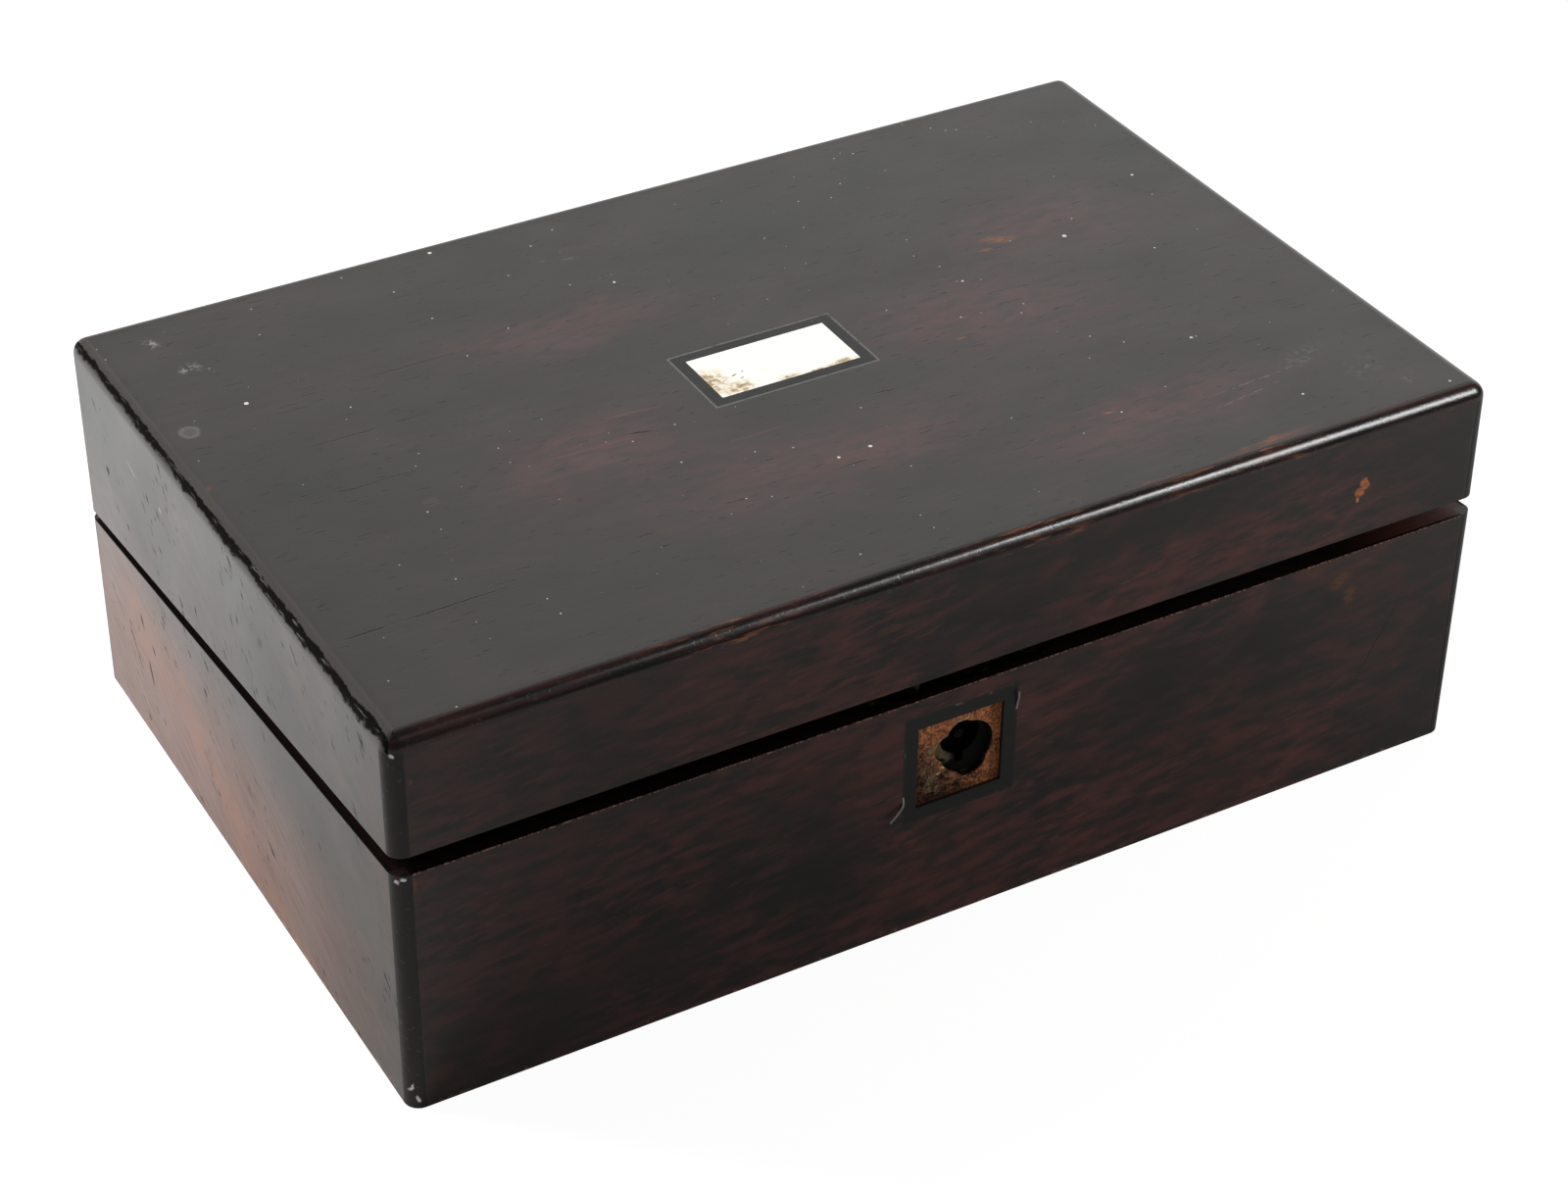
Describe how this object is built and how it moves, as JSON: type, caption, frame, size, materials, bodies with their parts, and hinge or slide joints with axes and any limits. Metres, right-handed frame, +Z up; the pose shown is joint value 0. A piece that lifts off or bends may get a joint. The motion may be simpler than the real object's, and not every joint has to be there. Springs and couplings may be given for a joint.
{
  "type": "writing box",
  "caption": "Veneered wooden writing box with a sloping split line; its hinged lid opens flat to make one writing slope over paper spaces, a pen tray and ink wells.",
  "frame": {"origin": "middle of the underside of the base", "axes": "+Z up, X along the width, the lock side faces -Y and the hinges are on the +Y side"},
  "size_m": [0.305, 0.1997, 0.1096],
  "materials": {
    "veneer": "old French-polished dark hardwood veneer, worn and scratched",
    "edging": "polished solid hardwood edging, rubbed on its round",
    "carcase": "plain sawn and planed carcase wood, unpolished",
    "fittings": "waxed hardwood",
    "brass": "old dull brass",
    "steel": "dull iron",
    "screws": "old brass screws",
    "string": "tarnished white-metal string",
    "ebony": "black-stained hardwood",
    "plate": "polished shell or bone, stained at its edges",
    "leather": "worn dark green skiver with a blind-tooled border",
    "tabs": "brown leather tab"
  },
  "bodies": {
    "base": {"base_front_veneer": "veneer", "base_back_veneer": "veneer", "base_left_veneer": "veneer", "base_right_veneer": "veneer", "base_corner_beads": "edging", "base_front_board": "carcase", "base_back_board": "carcase", "base_left_end": "carcase", "base_right_end": "carcase", "base_bottom_board": "carcase", "long_partition": "fittings", "ink_well_dividers": "fittings", "pen_tray": "fittings", "pen_tray_bearers": "fittings", "base_flap_ledges": "fittings", "lock_case": "brass", "lock_back_plate": "brass", "lock_selvedge": "brass", "hinge_base_leaves": "brass", "lock_drill_pin": "steel", "hinge_pins": "steel", "lock_screws": "screws", "hinge_base_screws": "screws", "lock_stringing": "string", "lock_surround": "ebony"},
    "lid": {"lid_front_veneer": "veneer", "lid_back_veneer": "veneer", "lid_left_veneer": "veneer", "lid_right_veneer": "veneer", "lid_top_veneer": "veneer", "lid_edging_front": "edging", "lid_edging_back": "edging", "lid_edging_left": "edging", "lid_edging_right": "edging", "lid_corner_beads": "edging", "lid_front_board": "carcase", "lid_back_board": "carcase", "lid_left_end": "carcase", "lid_right_end": "carcase", "lid_top_board": "carcase", "lid_flap_ledges": "fittings", "link_plate": "brass", "link_hooks": "steel", "link_screws": "screws", "hinge_lid_leaves": "brass", "hinge_lid_screws": "screws", "name_plate": "plate", "plate_stringing": "string", "plate_surround": "ebony"},
    "base_flap": {"base_flap_panel": "fittings", "base_flap_leather": "leather", "base_flap_pins": "brass", "base_flap_tab": "tabs"},
    "lid_flap": {"lid_flap_panel": "fittings", "lid_flap_leather": "leather", "lid_flap_pins": "brass", "lid_flap_tab": "tabs"},
    "bolt": {"lock_bolt": "steel"}
  },
  "joints": [
    {"name": "lid_hinge", "type": "hinge", "parent": "base", "child": "lid", "pos_m": [0, 0.09922, 0.05359], "axis": [-1, 0, 0], "range_deg": [-1.3, 179.2]},
    {"name": "base_flap_hinge", "type": "hinge", "parent": "base", "child": "base_flap", "pos_m": [0, 0.08434, 0.04974], "axis": [-1, 0, 0], "range_deg": [-0.5, 63]},
    {"name": "lid_flap_hinge", "type": "hinge", "parent": "lid", "child": "lid_flap", "pos_m": [0, 0.08542, 0.06037], "axis": [1, 0, 0], "range_deg": [-0.5, 63]},
    {"name": "bolt_slide", "type": "slide", "parent": "base", "child": "bolt", "axis": [1, 0, 0], "range_m": [0, 0.004]}
  ],
  "couplings": [
    {"joint": "base_flap_hinge", "follows": "lid_hinge", "ratio": 0.35},
    {"joint": "lid_flap_hinge", "follows": "lid_hinge", "ratio": 0.35}
  ]
}
